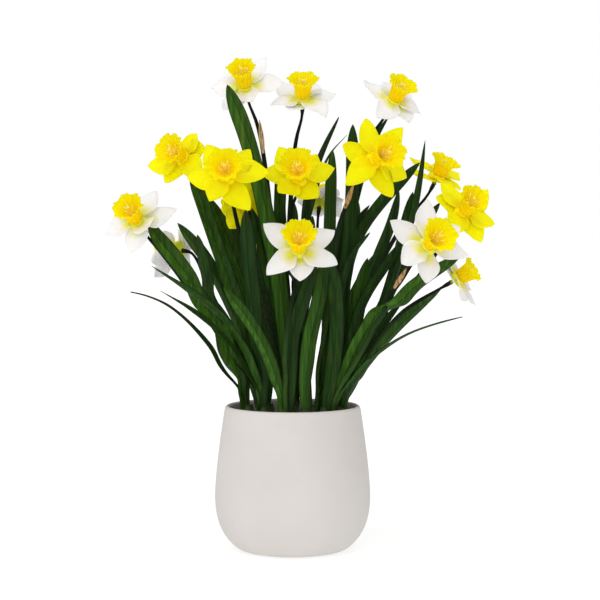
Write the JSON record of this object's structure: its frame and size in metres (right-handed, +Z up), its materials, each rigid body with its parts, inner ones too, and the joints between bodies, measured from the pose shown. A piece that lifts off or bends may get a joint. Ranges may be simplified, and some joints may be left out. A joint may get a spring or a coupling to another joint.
{
  "type": "potted daffodil",
  "caption": "Potted daffodil: trumpet daffodils in white and yellow with strap leaves, growing in a round matte ceramic pot that stands on its flat base.",
  "frame": {"origin": "middle of the pot's flat underside", "axes": "+Z up along the pot's axis; -Y is the side that the picture shows, +X is to the right there"},
  "size_m": [0.3836, 0.2294, 0.4942],
  "materials": {
    "pot": "matte warm off-white with a very fine grain",
    "soil": "damp potting mix, rough",
    "leaf": "satin living leaf, ribbed along its length",
    "white_petal": "soft satin petal, white, green-yellow at its root",
    "yellow_petal": "soft satin petal, lemon yellow",
    "trumpet": "soft satin petal, golden yellow",
    "spathe": "dry papery sheath"
  },
  "bodies": {
    "root": {"pot": "pot", "soil": "soil", "shoot_left": "leaf", "shoot_left_front": "leaf", "shoot_front_left": "leaf", "shoot_front_right": "leaf", "shoot_right_front": "leaf", "shoot_right": "leaf", "shoot_middle_left": "leaf", "shoot_middle": "leaf", "shoot_middle_right": "leaf", "shoot_right_back": "leaf", "shoot_back_left": "leaf", "shoot_back": "leaf", "shoot_back_right": "leaf", "perianth_top_left": "white_petal", "corona_top_left": "trumpet", "perianth_top_middle": "white_petal", "corona_top_middle": "trumpet", "perianth_top_right": "white_petal", "corona_top_right": "trumpet", "perianth_left_high": "yellow_petal", "corona_left_high": "trumpet", "perianth_left_inner": "yellow_petal", "corona_left_inner": "trumpet", "perianth_middle_high": "yellow_petal", "corona_middle_high": "trumpet", "perianth_right_inner": "yellow_petal", "corona_right_inner": "trumpet", "perianth_right_high": "yellow_petal", "corona_right_high": "trumpet", "perianth_far_right": "yellow_petal", "corona_far_right": "trumpet", "perianth_far_left": "white_petal", "corona_far_left": "trumpet", "perianth_left_turned": "white_petal", "corona_left_turned": "trumpet", "perianth_front_middle": "white_petal", "corona_front_middle": "trumpet", "perianth_right_low": "white_petal", "corona_right_low": "trumpet", "perianth_far_right_low": "white_petal", "corona_far_right_low": "trumpet", "perianth_behind_left": "yellow_petal", "corona_behind_left": "trumpet", "perianth_behind_middle": "white_petal", "corona_behind_middle": "trumpet", "spathe_top_left": "spathe", "spathe_left_high": "spathe", "spathe_right_inner": "spathe", "spathe_far_right": "spathe", "spathe_right_low": "spathe", "spathe_behind_left": "spathe"}
  },
  "joints": []
}
